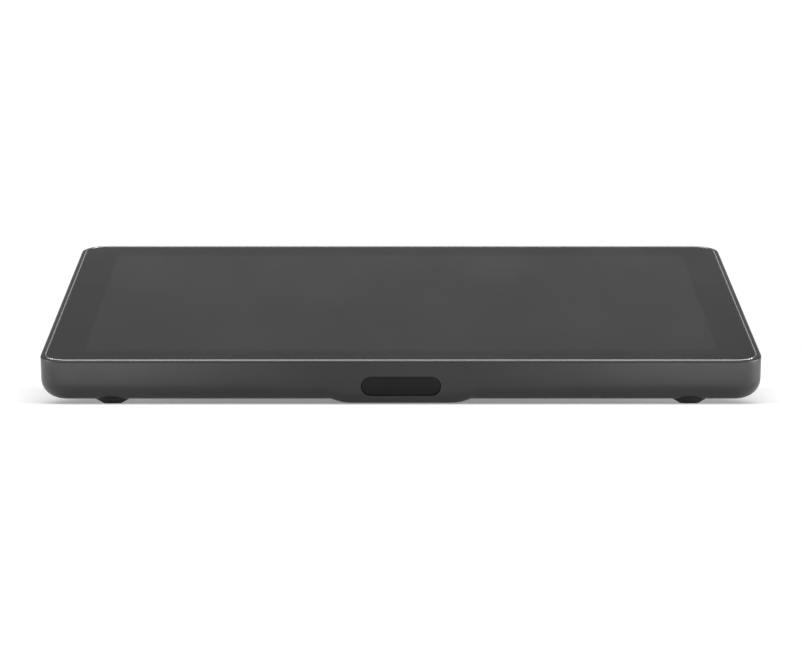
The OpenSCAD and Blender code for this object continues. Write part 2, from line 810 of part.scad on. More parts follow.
module port_panel() {
    top = roof_under(panel_y) - 0.3;
    low = plate_top + 0.5;
    color([0.6, 0.61, 0.63]) upright() difference() {
        union() {
            translate([-panel_span / 2, panel_y, low]) cube([panel_span, panel_t, top - low]);
            // ends that stand on the base plate, beside the cover
            for (sx = [-1, 1]) translate([sx * (panel_span / 2 - 7) - 7, panel_y, plate_top])
                cube([14, panel_t, top - plate_top]);
        }
        socket_hole(net_x, net_size);
        socket_hole(hdmi_x, hdmi_size);
        for (x = usb_x) socket_hole(x, usb_size);
        translate([button_x, panel_y - 1, button_z]) rotate([-90, 0, 0])
            cylinder(r = button_r + button_gap, h = panel_t + 2);
    }
}

module network_socket() {
    jack = [11.7, 12, 8.4];
    color([0.75, 0.75, 0.77]) upright() socket_at(net_x, net_size) difference() {
        cube(net_size);
        translate([(net_size[0] - jack[0]) / 2, net_size[1] - jack[1], 1.4])
            cube([jack[0], jack[1] + 1, jack[2]]);
    }
}

module hdmi_socket() {
    shell = 0.5;
    depth = 9.5;
    color([0.75, 0.75, 0.77]) upright() socket_at(hdmi_x, hdmi_size) {
        difference() {
            cube(hdmi_size);
            translate([shell, hdmi_size[1] - depth, 0.8])
                cube([hdmi_size[0] - 2 * shell, depth + 1, 4.6]);
        }
        translate([1.5, 1, 2.7]) cube([12, hdmi_size[1] - 2.5, 0.9]);
    }
}

module usb_sockets() {
    shell = 0.35;
    color([0.75, 0.75, 0.77]) upright() for (x = usb_x) socket_at(x, usb_size) {
        difference() {
            translate([usb_size[0] / 2, usb_size[1], usb_size[2] / 2]) rotate([90, 0, 0])
                linear_extrude(usb_size[1]) pill(usb_size[0], usb_size[2]);
            translate([usb_size[0] / 2, usb_size[1] + 1, usb_size[2] / 2]) rotate([90, 0, 0])
                linear_extrude(usb_size[1] - 0.5)
                    pill(usb_size[0] - 2 * shell, usb_size[2] - 2 * shell);
        }
        translate([1.2, 1, usb_size[2] / 2 - 0.35]) cube([6.6, usb_size[1] - 1.8, 0.7]);
    }
}

module reset_switch() {
    face = panel_y + panel_t + button_out - button_len - button_travel - 0.1;
    color([0.15, 0.15, 0.15]) upright() translate([button_x - 3, face - 4, io_top])
        cube([6, 4, 6]);
}

module reset_button() {
    collar = 0.8;
    color([0.6, 0.6, 0.62]) upright()
        translate([button_x, panel_y + panel_t + button_out, button_z]) rotate([90, 0, 0]) {
            cylinder(r = button_r, h = button_len);
            // the collar that keeps it behind the panel
            translate([0, 0, panel_t + button_out + 0.3]) cylinder(r = button_r + collar, h = 1);
        }
}

module io_ribbon() {
    t = 0.3;
    high = main_top + socket_t + t / 2;
    mouth = on_table(slot_y, -roof_t - 1);
    color([0.92, 0.92, 0.9]) upright()
        ribbon(io_x, io_ribbon_w, t, [
            on_table(main_y + 4, high), on_table(slot_y + 1.6, high), on_table(slot_y, high - 1.6),
            mouth, [mouth[0] - 1, io_top + 3], [mouth[0] - 3, io_top + t / 2],
            [io_front + 2, io_top + t / 2]
        ]);
}

module antenna_boards() {
    color([0.1, 0.1, 0.1]) upright() for (sx = [-1, 1])
        translate([
            sx * (base_w / 2 - base_wall - antenna[0] / 2) - antenna[0] / 2,
            speaker_y + speaker[1] - antenna[1], plate_top + 1
        ])
            cube(antenna);
}

module mount_inserts() {
    color([0.8, 0.65, 0.3]) upright() for (at = mounts_at) difference() {
        peg(at, insert_r, base_z, insert_t);
        peg(at, mount_hole_r, base_z - eps, insert_t + 2 * eps);
    }
}

module rear_feet() {
    bevel = 0.5;
    color([0.09, 0.09, 0.09]) upright() for (sx = [-1, 1])
        translate([sx * rear_foot[0], rear_foot[1], 0]) {
            cylinder(r1 = rear_foot_r - bevel, r2 = rear_foot_r, h = bevel);
            translate([0, 0, bevel - eps]) cylinder(r = rear_foot_r, h = base_z - bevel + eps);
        }
}

module lock_plate() {
    t = 1.2;
    color([0.7, 0.7, 0.72]) upright()
        translate([base_w / 2 - base_wall - t, lock_y, lock_z]) rotate([0, 90, 0])
            linear_extrude(t) difference() {
                square([9, 14], center = true);
                rotate(90) pill(7, 3);
            }
}

module cable_clamp() {
    color([0.16, 0.16, 0.17]) upright() difference() {
        translate([-clamp_w / 2, clamp_y, clamp_z]) cube([clamp_w, clamp_d, clamp_t]);
        cord_grooves();
        for (x = clamp_x) {
            peg([x, clamp_mid], screw_r + screw_gap, clamp_z - 1, clamp_t + 2);
            peg([x, clamp_mid], head_r + screw_gap, clamp_z - 1, head_sink + 1);
        }
    }
}

module clamp_screws() {
    color([0.7, 0.7, 0.72]) upright() for (x = clamp_x)
        screw([x, clamp_mid], clamp_z + head_sink, clamp_t - head_sink + 7);
}

module cable_cover() {
    length = base_back - cover_front;
    flange_z = lip_z + 0.2;
    flange_t = plate_top + 0.2 - flange_z;
    grip = [24, 1.2, 0.6];
    color([0.16, 0.16, 0.17]) upright() difference() {
        union() {
            translate([-cover_w / 2, cover_front, base_z])
                cube([cover_w, length, flange_z + flange_t - base_z]);
            translate([-cover_w / 2 - cover_lip, cover_front, flange_z])
                cube([cover_w + 2 * cover_lip, length, flange_t]);
        }
        // grip grooves on the underside
        for (i = [0 : 4])
            translate([-grip[0] / 2, base_back - 8 - 3 * i, base_z - eps]) cube(grip);
    }
}

housing();
trim_ring();
cover_glass();
glass_adhesive();
touch_sensor();
lcd_panel();
light_guide();
backlight_tray();
led_strip();
display_frame();
display_screws();
main_board();
board_screws();
processor();
memory_chips();
shield_cans();
thermal_pad();
heat_spreader();
board_sockets();
display_flex();
touch_flex();
sensor_window();
sensor_board();
motion_sensor();
sensor_screws();
sensor_cable();
front_feet();
base_housing();
base_screws();
base_plate();
plate_screws();
speakers();
io_board();
io_screws();
port_panel();
network_socket();
hdmi_socket();
usb_sockets();
reset_switch();
reset_button();
io_ribbon();
antenna_boards();
mount_inserts();
rear_feet();
lock_plate();
cable_clamp();
clamp_screws();
cable_cover();
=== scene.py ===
import functools
import math

import bmesh
import bpy
from mathutils import Matrix, Vector


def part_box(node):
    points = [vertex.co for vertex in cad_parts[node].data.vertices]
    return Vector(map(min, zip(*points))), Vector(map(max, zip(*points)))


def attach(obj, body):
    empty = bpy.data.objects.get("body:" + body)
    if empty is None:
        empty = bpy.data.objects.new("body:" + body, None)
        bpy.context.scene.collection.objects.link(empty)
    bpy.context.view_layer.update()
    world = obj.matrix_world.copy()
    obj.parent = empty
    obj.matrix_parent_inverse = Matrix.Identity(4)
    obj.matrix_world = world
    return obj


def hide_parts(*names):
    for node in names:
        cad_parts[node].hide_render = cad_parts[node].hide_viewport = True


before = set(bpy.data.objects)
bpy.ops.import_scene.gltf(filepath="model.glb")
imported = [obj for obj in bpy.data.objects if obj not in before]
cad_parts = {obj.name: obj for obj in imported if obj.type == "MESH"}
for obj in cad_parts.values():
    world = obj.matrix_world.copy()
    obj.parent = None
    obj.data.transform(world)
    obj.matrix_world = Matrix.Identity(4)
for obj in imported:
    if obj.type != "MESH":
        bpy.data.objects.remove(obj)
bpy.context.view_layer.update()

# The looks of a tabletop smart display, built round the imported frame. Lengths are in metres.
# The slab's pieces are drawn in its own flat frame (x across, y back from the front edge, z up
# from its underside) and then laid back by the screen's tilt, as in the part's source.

MM = 0.001

# ---- Driving sizes, the same as the part's ----
TILT = math.radians(14.2)
SLAB_T = 14.7 * MM
CORNER_R = 9.5 * MM
EDGE_R = 6.5 * MM
WALL = 2 * MM
RIM_W = 1.4 * MM
RIM_BEVEL = 0.3 * MM
RIM_ROUND = 0.5 * MM
TRIM_GAP = 0.1 * MM
TRIM_W = 0.45 * MM
TRIM_UP = 0.2 * MM
GLASS_T = 1.1 * MM
BOND_T = 0.3 * MM
ACTIVE = (217 * MM, 135.6 * MM, 13.6 * MM)   # width, depth, and where it starts behind the front
WINDOW = (27 * MM, 6.6 * MM, 6 * MM)         # width, height, and the height of its middle
CHIN_HALF = 19.8 * MM                        # half the width of the chin's flat bottom
CHIN_DEEP = 16 * MM
CHIN_SLOPE = 2.79                            # how far a flank runs out for each step up
CHIN_SOFT = 0.9 * MM                         # how softly the bottom turns into a flank
CHIN_FADE = 3 * MM                           # where a flank starts to curve away
CHIN_CURVE = 16 * MM                         # the smaller, the faster it curves away
CHIN_CLEAR = 0.25 * MM
CHIN_R = 3.2 * MM
EDGE_TOP = EDGE_R + 2 * MM                   # where the lower edge has turned into the wall
UNDER_REACH = 24 * MM                        # how far in the loft starts on the underside
LEDGE = SLAB_T - GLASS_T - BOND_T            # height of the ledge under the glass's bond

# ---- The slab's frame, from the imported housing's box ----
low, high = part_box("housing")
SLAB_W = high.x - low.x
rise = (SLAB_T - RIM_BEVEL) * math.sin(TILT)
SLAB_D = (high.y - low.y - rise - EDGE_R * (1 - math.sin(TILT))) / math.cos(TILT) + EDGE_R
SLAB_AT = Vector((
    (low.x + high.x) / 2,
    low.y + rise,
    high.z - (SLAB_D - RIM_BEVEL) * math.sin(TILT) - SLAB_T * math.cos(TILT),
))
SLAB = Matrix.Translation(SLAB_AT) @ Matrix.Rotation(TILT, 4, "X")


# ---- Camera: straight on from the front, at about the height of the slab's back edge ----
CAMERA_AT = (-2.1 * MM, -1125.8 * MM, 47.4 * MM)
CAMERA_LENS = 138.7               # focal length on a 36 mm sensor
CAMERA_DOWN = math.radians(1.122)
CAMERA_TURN = math.radians(-0.115)


def make_camera():
    data = bpy.data.cameras.new("camera")
    data.lens = CAMERA_LENS
    data.sensor_width = 36
    camera = bpy.data.objects.new("camera", data)
    camera.location = CAMERA_AT
    camera.rotation_euler = (math.pi / 2 - CAMERA_DOWN, 0, CAMERA_TURN)
    bpy.context.scene.collection.objects.link(camera)
    bpy.context.scene.camera = camera


# ---- Shader helpers ----
class Shader:
    """A material with one Principled shader, and short ways to add what varies over it."""

    def __init__(self, name, **constants):
        self.material = bpy.data.materials.new(name)
        self.material.use_nodes = True
        self.nodes = self.material.node_tree.nodes
        self.links = self.material.node_tree.links
        self.surface = self.nodes["Principled BSDF"]
        for socket, value in constants.items():
            self.surface.inputs[socket.replace("_", " ")].default_value = value
        self.place = self.nodes.new("ShaderNodeTexCoord").outputs["Object"]

    def node(self, kind, inputs=None, **settings):
        made = self.nodes.new("ShaderNode" + kind)
        for key, value in settings.items():
            setattr(made, key, value)
        for socket, value in (inputs or {}).items():
            if isinstance(value, bpy.types.NodeSocket):
                self.links.new(value, made.inputs[socket])
            else:
                made.inputs[socket].default_value = value
        return made

    def noise(self, size, detail=3.0, stretch=(1, 1, 1), turn=(0, 0, 0)):
        """Noise whose features are about size metres across, longer where stretch is above 1."""
        scale = tuple(1 / (size * s) for s in stretch)
        place = self.node("Mapping", {"Vector": self.place, "Rotation": turn, "Scale": scale})
        noise = self.node("TexNoise", {"Vector": place.outputs[0], "Scale": 1.0, "Detail": detail})
        return noise.outputs["Fac"]

    def colour(self, first, second, by, low=0.35, high=0.65):
        """Runs the colour from first to second as by goes from low to high."""
        ramp = self.node("ValToRGB", {"Fac": by})
        for stop, where, tone in zip(ramp.color_ramp.elements, (low, high), (first, second)):
            stop.position = where
            stop.color = (*tone, 1)
        self.links.new(ramp.outputs["Color"], self.surface.inputs["Base Color"])

    def rough(self, low, high, by):
        """Runs the roughness from low to high with a noise, whose values stay near the middle."""
        span = self.node("MapRange", {"Value": by, "From Min": 0.3, "From Max": 0.7,
                                      "To Min": low, "To Max": high})
        self.links.new(span.outputs["Result"], self.surface.inputs["Roughness"])

    def bump(self, height, depth, strength=1.0):
        """Bumps of depth metres from a height that goes from 0 to 1."""
        bump = self.node("Bump", {"Height": height, "Distance": depth, "Strength": strength})
        self.links.new(bump.outputs["Normal"], self.surface.inputs["Normal"])


def grey(value):
    """A neutral grey with a trace of blue."""
    return (value, value, value * 1.02)


def plastic(name, tone, rough, grain=0.35 * MM, depth=0.012 * MM, **constants):
    """Moulded plastic: fine spark-eroded grain, slow changes of tone and of gloss."""
    made = Shader(name, **constants)
    slow = made.noise(28 * MM, 4)
    made.colour(tuple(c * 0.9 for c in tone), tuple(c * 1.1 for c in tone), slow)
    made.rough(rough - 0.05, rough + 0.05, made.noise(6 * MM, 5))
    made.bump(made.noise(grain, 2), depth)
    return made.material


def metal(name, tone, rough, stretch=(1, 1, 1), **constants):
    """Metal with fine lines along one direction and faint stains."""
    made = Shader(name, Metallic=1.0, **constants)
    lines = made.noise(0.12 * MM, 3, stretch)
    made.colour(tuple(c * 0.88 for c in tone), tone, made.noise(4 * MM, 4))
    made.rough(rough - 0.08, rough + 0.08, lines)
    made.bump(lines, 0.004 * MM)
    return made.material


def rubber(name, tone):
    """Matt rubber with a dusty, uneven surface."""
    made = Shader(name, Specular_IOR_Level=0.3)
    made.colour(tuple(c * 0.8 for c in tone), tuple(c * 1.3 for c in tone), made.noise(3 * MM, 5))
    made.rough(0.7, 0.88, made.noise(1.2 * MM, 4))
    made.bump(made.noise(0.25 * MM, 4), 0.03 * MM)
    return made.material


def shell_material():
    """The slab's charcoal shell: satin, with a very fine grain."""
    made = Shader("shell_charcoal", Specular_IOR_Level=0.45)
    slow = made.noise(35 * MM, 4)
    made.colour((0.0135, 0.0137, 0.014), (0.0175, 0.0177, 0.018), slow)
    made.rough(0.3, 0.38, made.noise(9 * MM, 5))
    made.bump(made.noise(0.3 * MM, 2), 0.006 * MM)
    return made.material


def trim_material():
    """Polished metal with very faint lines."""
    made = Shader("trim_polished", Metallic=1.0)
    lines = made.noise(0.2 * MM, 3, (12, 1, 1))
    made.colour((0.5, 0.5, 0.505), (0.54, 0.54, 0.545), lines)
    made.rough(0.235, 0.25, lines)
    made.bump(lines, 0.0004 * MM)
    return made.material


def glass_material(name, tone, gloss):
    """Cover glass over black ink or over the switched-off panel, with a trace of smudging."""
    made = Shader(name, IOR=1.5, Specular_IOR_Level=0.5)
    smudge = made.noise(18 * MM, 6, (1.6, 1, 1), (0, 0, 0.6))
    made.colour(tuple(c * 0.92 for c in tone), tuple(c * 1.08 for c in tone), smudge)
    made.rough(gloss, gloss + 0.05, made.noise(30 * MM, 5, (1, 2, 1), (0, 0, 0.4)))
    made.bump(made.noise(45 * MM, 1), 0.004 * MM)
    return made.material


def screen_material():
    """The switched-off panel behind the glass: a faint regular cell structure under the gloss."""
    made = Shader("screen_off", IOR=1.5)
    rows = made.node("TexWave", {"Vector": made.place, "Scale": 900.0, "Distortion": 0.0},
                     bands_direction="X")
    slow = made.noise(60 * MM, 3)
    mixed = made.node("Math", {0: rows.outputs["Fac"], 1: slow}, operation="MULTIPLY")
    made.colour((0.0135, 0.0138, 0.0145), (0.0165, 0.0168, 0.0178), mixed.outputs[0], 0.2, 0.6)
    made.rough(0.1, 0.15, made.noise(30 * MM, 5, (1, 2, 1), (0, 0, 0.4)))
    made.bump(made.noise(45 * MM, 1), 0.004 * MM)
    return made.material


def window_material():
    """The sensor window's dark plastic, which looks black and lets infrared through."""
    made = Shader("window_infrared", Specular_IOR_Level=0.2)
    slow = made.noise(7 * MM, 4)
    made.colour((0.003, 0.003, 0.0032), (0.0045, 0.0043, 0.0046), slow)
    made.rough(0.16, 0.24, made.noise(3 * MM, 5))
    made.bump(made.noise(0.2 * MM, 2), 0.002 * MM)
    return made.material


def board_material():
    """Solder mask over traces, with pads where the two grids meet."""
    made = Shader("circuit_board", Coat_Weight=0.3, Coat_Roughness=0.2)
    cells = made.node("TexVoronoi", {"Vector": made.place, "Scale": 450.0}, feature="F1",
                      distance="MANHATTAN")
    made.colour((0.004, 0.05, 0.024), (0.012, 0.12, 0.06), cells.outputs["Distance"], 0.3, 0.5)
    made.rough(0.35, 0.5, made.noise(2 * MM, 3))
    made.bump(cells.outputs["Distance"], 0.03 * MM)
    return made.material


def ribbon_material(name, film, metal_tone, pitch):
    """Flat cable: conductors side by side under a film."""
    made = Shader(name, Coat_Weight=0.4, Coat_Roughness=0.15)
    lines = made.node("TexWave", {"Vector": made.place, "Scale": 0.32 / pitch, "Distortion": 0.0},
                      bands_direction="X")
    made.colour(film, metal_tone, lines.outputs["Fac"], 0.45, 0.6)
    made.rough(0.3, 0.42, made.noise(3 * MM, 4))
    made.bump(lines.outputs["Fac"], 0.02 * MM)
    return made.material


def clear_material(name, tone, rough, weight):
    """Clear film or acrylic that lets a share of the light through."""
    made = Shader(name, IOR=1.49, Transmission_Weight=weight)
    made.colour(tuple(c * 0.95 for c in tone), tone, made.noise(5 * MM, 4))
    made.rough(rough, rough + 0.08, made.noise(2 * MM, 4))
    made.bump(made.noise(0.4 * MM, 2), 0.004 * MM)
    return made.material


# ---- Mesh helpers ----
SHARP = math.radians(35)          # faces that meet at more than this keep a sharp edge
TINY = 1e-9
CORNER_STEPS = 16
CHIN_REACH = 72 * MM              # half the width over which the front has close columns
CHIN_STEPS = 132                  # columns over that width
FLANK_STEPS = 6                   # columns from there to a corner
SIDE_STEPS = 10                   # columns along each of the other sides
SMALLEST_R = 0.3 * MM             # no ring's corner is tighter


def straight_shares():
    """Where the columns stand along the back, left, front and right, as shares of a side."""
    even = [i / SIDE_STEPS for i in range(1, SIDE_STEPS)]
    half = SLAB_W / 2 - CORNER_R
    chin = [0.5 + (i / CHIN_STEPS - 0.5) * CHIN_REACH / half for i in range(CHIN_STEPS + 1)]
    flank = [i / FLANK_STEPS * chin[0] for i in range(1, FLANK_STEPS)]
    front = flank + chin + [1 - share for share in reversed(flank)]
    return [even, even, front, even]


SHARES = straight_shares()


def ring(left, right, front, back, radius):
    """A rectangle with round corners as a ring of (x, y), whose columns match any other ring's."""
    radius = max(radius, SMALLEST_R)
    centres = [(right - radius, back - radius), (left + radius, back - radius),
               (left + radius, front + radius), (right - radius, front + radius)]
    points = []
    for quarter, (cx, cy) in enumerate(centres):
        for i in range(CORNER_STEPS + 1):
            a = math.pi / 2 * (quarter + i / CORNER_STEPS)
            points.append((cx + radius * math.cos(a), cy + radius * math.sin(a)))
        nx, ny = centres[(quarter + 1) % 4]
        a = math.pi / 2 * (quarter + 1)
        ox, oy = radius * math.cos(a), radius * math.sin(a)
        for share in SHARES[quarter]:
            points.append((cx + ox + (nx - cx) * share, cy + oy + (ny - cy) * share))
    return points


@functools.cache
def slab_ring(inset):
    """The slab's outline, drawn in by an inset."""
    return ring(-SLAB_W / 2 + inset, SLAB_W / 2 - inset, inset, SLAB_D - inset, CORNER_R - inset)


def arc(cx, cz, radius, start, end, steps):
    """Points (inset, height) on an arc, angles in degrees."""
    turn = [math.radians(start + (end - start) * i / steps) for i in range(steps + 1)]
    return [(cx + radius * math.cos(a), cz + radius * math.sin(a)) for a in turn]


def resample(points, count):
    """The same line with count points at even steps."""
    lengths = [0.0]
    for a, b in zip(points, points[1:]):
        lengths.append(lengths[-1] + math.dist(a, b))
    made, j = [], 0
    for i in range(count):
        want = lengths[-1] * i / (count - 1)
        while j < len(points) - 2 and lengths[j + 1] < want:
            j += 1
        span = lengths[j + 1] - lengths[j]
        t = (want - lengths[j]) / span if span else 0
        made.append(tuple(a + (b - a) * t for a, b in zip(points[j], points[j + 1])))
    return made


def smoothed(points, passes):
    """Rounds a line's corners and leaves its ends where they are."""
    for _ in range(passes):
        inner = [tuple((a + 2 * b + c) / 4 for a, b, c in zip(p, q, r))
                 for p, q, r in zip(points, points[1:], points[2:])]
        points = [points[0], *inner, points[-1]]
    return points


def finish_mesh(bm, name, body, materials, tilt=True, sharp=SHARP):
    """Turns a bmesh into a piece that rides on a body, smooth except at its sharp edges."""
    bmesh.ops.recalc_face_normals(bm, faces=bm.faces)
    mesh = bpy.data.meshes.new(name)
    bm.to_mesh(mesh)
    bm.free()
    if tilt:
        mesh.transform(SLAB)
    for material in materials:
        mesh.materials.append(material)
    mesh.shade_smooth()
    mesh.set_sharp_from_angle(angle=sharp)
    piece = bpy.data.objects.new(name, mesh)
    bpy.context.scene.collection.objects.link(piece)
    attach(piece, body)
    return piece


def add_ring(bm, points, height):
    """Adds a ring of vertices at one height."""
    return [bm.verts.new((x, y, height)) for x, y in points]


def bridge(bm, first, second):
    """Joins two rings that have the same number of vertices with faces."""
    for i, vert in enumerate(first):
        j = (i + 1) % len(first)
        bm.faces.new((vert, first[j], second[j], second[i]))


# ---- The slab ----
LOWER_STEPS = 64                  # points from the underside round the lower edge
EDGE_SAMPLES = 240                # steps in which the front's lower edge is worked out
SMOOTH_SAMPLES = 260              # points in which it is smoothed
SMOOTH_PASSES = 14


def chin_bottom(x):
    """The chin's lowest height over the floor at x: flat, then a flank that curves away."""
    over = abs(x) - CHIN_HALF
    climb = over
    if over < 20 * CHIN_SOFT:
        climb = CHIN_SOFT * math.log1p(math.exp(over / CHIN_SOFT))
    return CHIN_CLEAR + climb / CHIN_SLOPE + max(over - CHIN_FADE, 0) ** 2 / CHIN_CURVE


def lower_edge(x):
    """The slab's lower front edge at x, as (inset, height), with the chin where there is one."""
    bottom = chin_bottom(x)
    sin_t, cos_t = math.sin(TILT), math.cos(TILT)
    line = []
    for i in range(EDGE_SAMPLES + 1):
        v = UNDER_REACH * (1 - i / EDGE_SAMPLES)
        slab = EDGE_R - math.sqrt(EDGE_R ** 2 - max(EDGE_R - v, 0) ** 2)
        chin = (bottom - SLAB_AT.z - v * sin_t) / cos_t
        if v < CHIN_R:
            chin += CHIN_R - math.sqrt(CHIN_R ** 2 - (CHIN_R - v) ** 2)
        line.append((v, min(slab, chin) if v <= CHIN_DEEP else slab))
    line.append((0.0, EDGE_TOP))
    return resample(smoothed(resample(line, SMOOTH_SAMPLES), SMOOTH_PASSES), LOWER_STEPS)


def make_housing():
    """The tray as one closed shell: outside, rim, ledge and inside."""
    turn = arc(EDGE_R, EDGE_R, EDGE_R, 270, 180, 24)
    plain = resample([(UNDER_REACH, 0), *turn, (0, EDGE_TOP)], LOWER_STEPS)
    wall = [(0, 10 * MM), (0, 13 * MM)]
    lip = 0.12 * MM
    rim = arc(RIM_ROUND, SLAB_T - RIM_ROUND, RIM_ROUND, 180, 90, 6)
    rim += arc(RIM_W - lip, SLAB_T - lip, lip, 90, 0, 3)
    inside = [(RIM_W, LEDGE), (WALL, LEDGE), *arc(EDGE_R, EDGE_R, EDGE_R - WALL, 180, 270, 8),
              (UNDER_REACH, WALL)]
    # the chin's flanks have run out by half of its reach
    columns = [lower_edge(x) if abs(y) < TINY and abs(x) < CHIN_REACH / 2 else plain
               for x, y in slab_ring(0)]
    bm = bmesh.new()
    rings = []
    for level in zip(*columns):
        places = [(*slab_ring(inset)[i], height) for i, (inset, height) in enumerate(level)]
        rings.append([bm.verts.new(place) for place in places])
    for inset, height in wall + rim + inside:
        rings.append(add_ring(bm, slab_ring(inset), height))
    for first, second in zip(rings, rings[1:]):
        bridge(bm, first, second)
    bm.faces.new(rings[0])
    bm.faces.new(list(reversed(rings[-1])))
    shell = finish_mesh(bm, "slab_housing", "device", [shell_material()])
    cut_window(shell)
    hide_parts("housing")


def pill_points(width, height):
    """A stadium in x and z, round its middle."""
    radius = height / 2
    right = arc(width / 2 - radius, 0, radius, -90, 90, 20)
    return right + [(-x, -z) for x, z in right]


def cut_window(shell):
    """Cuts the sensor window's opening through the front wall."""
    width, height, middle = WINDOW
    play = 0.2 * MM
    outline = pill_points(width + play, height + play)
    bm = bmesh.new()
    loops = [[bm.verts.new((x, y, middle + z)) for x, z in outline] for y in (-3 * MM, 3.2 * MM)]
    bridge(bm, *loops)
    bm.faces.new(loops[0])
    bm.faces.new(list(reversed(loops[1])))
    bmesh.ops.recalc_face_normals(bm, faces=bm.faces)
    mesh = bpy.data.meshes.new("cutter")
    bm.to_mesh(mesh)
    bm.free()
    mesh.transform(SLAB)
    cutter = bpy.data.objects.new("cutter", mesh)
    bpy.context.scene.collection.objects.link(cutter)
    cut = shell.modifiers.new("cut", "BOOLEAN")
    cut.operation, cut.solver, cut.object = "DIFFERENCE", "EXACT", cutter
    graph = bpy.context.evaluated_depsgraph_get()
    result = bpy.data.meshes.new_from_object(shell.evaluated_get(graph))
    shell.modifiers.clear()
    shell.data = result
    result.shade_smooth()
    result.set_sharp_from_angle(angle=SHARP)
    bpy.data.objects.remove(cutter)


def make_trim():
    """The bright ring: a rounded bead that stands a little proud of the rim and the glass."""
    out = RIM_W + TRIM_GAP
    half = TRIM_W / 2
    shoulder = SLAB_T - 0.1 * MM
    bead = [(x, SLAB_T + TRIM_UP / half * z) for x, z in arc(out + half, 0, half, 180, 0, 12)]
    section = [(out, LEDGE), (out, shoulder), *bead, (out + TRIM_W, shoulder),
               (out + TRIM_W, LEDGE)]
    bm = bmesh.new()
    rings = [add_ring(bm, slab_ring(inset), height) for inset, height in section]
    for first, second in zip(rings, rings[1:] + rings[:1]):
        bridge(bm, first, second)
    trim = finish_mesh(bm, "trim", "device", [trim_material()],
                       sharp=math.radians(50))
    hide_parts("trim_ring")


def make_glass():
    """The cover glass, ground at its edges, with the screen's area as its own faces."""
    edge = RIM_W + TRIM_W + 2 * TRIM_GAP
    top, bottom = SLAB_T, SLAB_T - GLASS_T
    ground = 0.18 * MM
    section = [(edge + ground, bottom), (edge, bottom + ground), (edge, top - ground)]
    section += arc(edge + ground, top - ground, ground, 180, 90, 4)[1:]
    section.append((edge + 2 * ground, top))
    bm = bmesh.new()
    rings = [add_ring(bm, slab_ring(inset), height) for inset, height in section]
    width, depth, start = ACTIVE
    screen = add_ring(bm, ring(-width / 2, width / 2, start, start + depth, SMALLEST_R), top)
    rings.append(screen)
    for first, second in zip(rings, rings[1:]):
        bridge(bm, first, second)
    bm.faces.new(list(reversed(rings[0])))
    bm.faces.new(screen).material_index = 1
    materials = [glass_material("glass_black_border", (0.0045, 0.0045, 0.005), 0.1),
                 screen_material()]
    glass = finish_mesh(bm, "glass", "device", materials)
    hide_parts("cover_glass")


# ---- Parts that keep the frame's shape, with their edges eased ----
def eased(node, body, material, width):
    """A copy of a CAD node with its flat faces joined up and its sharp edges rounded."""
    bm = bmesh.new()
    bm.from_mesh(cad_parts[node].data)
    bmesh.ops.remove_doubles(bm, verts=bm.verts, dist=1e-6)
    bmesh.ops.dissolve_limit(bm, angle_limit=math.radians(0.5), verts=bm.verts, edges=bm.edges)
    sharp = [e for e in bm.edges if len(e.link_faces) == 2 and e.calc_face_angle(0) > SHARP]
    bmesh.ops.bevel(bm, geom=sharp, offset=width, offset_type="OFFSET", segments=2,
                    profile=0.5, affect="EDGES", clamp_overlap=True)
    piece = finish_mesh(bm, node + "_eased", body, [material], tilt=False)
    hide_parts(node)


def dress(node, material):
    """Gives a CAD node that stays a better material."""
    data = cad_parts[node].data
    data.materials.clear()
    data.materials.append(material)


# ---- Stage: a pale floor that glows a little, most of all in front of the slab's two halves ----
FLOOR_R = 0.75
GLOW = 0.25                       # everywhere
FRONT_GLOW = 1.3                  # more of it in front of the slab
GLOW_STARTS = (0.02, 0.115)       # from here it grows outward, up to there
GLOW_ENDS = (0.21, 0.15)          # from here it grows inward, up to there
GLOW_FRONT = (-0.085, -0.1)       # from here it grows forward, up to there


def make_stage():
    data = bpy.data.meshes.new("floor")
    bm = bmesh.new()
    bmesh.ops.create_circle(bm, cap_ends=True, segments=96, radius=FLOOR_R)
    bm.to_mesh(data)
    bm.free()
    floor = bpy.data.objects.new("floor", data)
    bpy.context.scene.collection.objects.link(floor)
    made = Shader("floor_pale", Emission_Color=(1, 1, 1, 1))
    place = made.node("SeparateXYZ", {0: made.place}).outputs
    out = made.node("Math", {0: place["X"]}, operation="ABSOLUTE").outputs[0]
    glow = FRONT_GLOW
    for value, (start, end) in ((out, GLOW_STARTS), (out, GLOW_ENDS), (place["Y"], GLOW_FRONT)):
        edge = made.node("MapRange", {"Value": value, "From Min": start, "From Max": end},
                         interpolation_type="SMOOTHSTEP")
        glow = made.node("Math", {0: glow, 1: edge.outputs["Result"]}, operation="MULTIPLY")
        glow = glow.outputs[0]
    glow = made.node("Math", {0: glow, 1: GLOW}, operation="ADD")
    made.links.new(glow.outputs[0], made.surface.inputs["Emission Strength"])
    made.colour((0.86, 0.86, 0.86), (0.88, 0.88, 0.88), made.noise(0.9, 3))
    made.rough(0.75, 0.85, made.noise(0.05, 3))
    data.materials.append(made.material)


DIM, BRIGHT = 0.23, 1.05          # the studio's and the backdrop's brightness
BACKDROP = (("Y", 0.84, 0.88), ("Z", 0.43, 0.38))   # straight behind the object, and low


